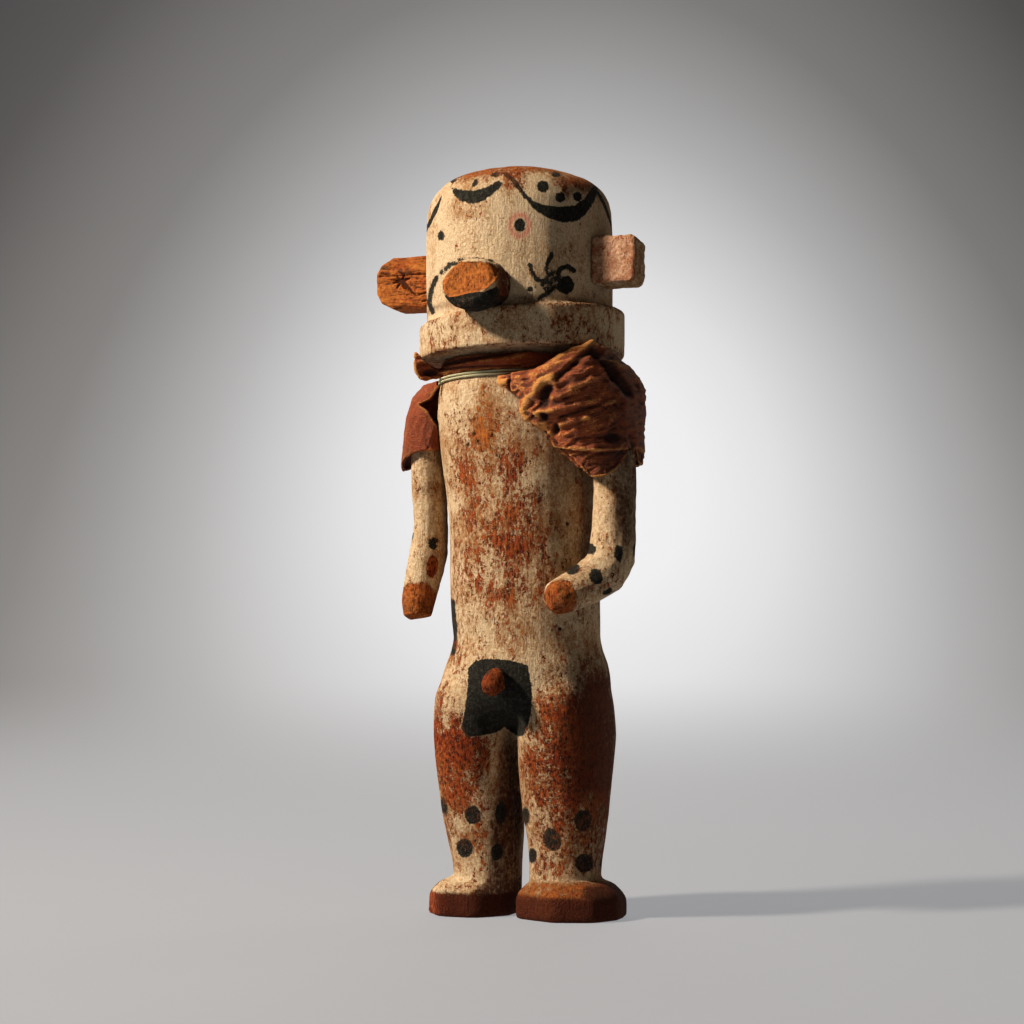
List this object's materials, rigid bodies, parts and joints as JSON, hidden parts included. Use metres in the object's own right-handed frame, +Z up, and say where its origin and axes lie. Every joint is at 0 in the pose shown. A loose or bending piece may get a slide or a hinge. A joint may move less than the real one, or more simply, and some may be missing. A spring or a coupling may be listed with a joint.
{
  "type": "kachina doll",
  "caption": "Standing figure carved from a root, with a tall round head, snout and ears, two arms, stout legs on blunt feet, and scraps of hide tied about the neck and shoulders.",
  "frame": {"origin": "on the floor under the middle of the whole doll's bounding box", "axes": "+Z up along the doll, which stands on its soles at z = 0 and faces -Y; its left side is +X"},
  "size_m": [0.1218, 0.1016, 0.32],
  "materials": {
    "painted_wood": "matt cream paint over wood, worn through to red-brown",
    "bare_wood": "bare aged wood, dull",
    "hide": "stiff dried hide, dull with worn lighter edges",
    "string": "twisted cotton, faded green"
  },
  "bodies": {
    "root": {"body": "painted_wood", "left_ear": "painted_wood", "right_ear": "bare_wood", "snout": "bare_wood", "left_arm": "painted_wood", "right_arm": "painted_wood", "neck_hide": "hide", "left_sleeve": "hide", "right_sleeve": "hide", "neck_string": "string"}
  },
  "joints": []
}
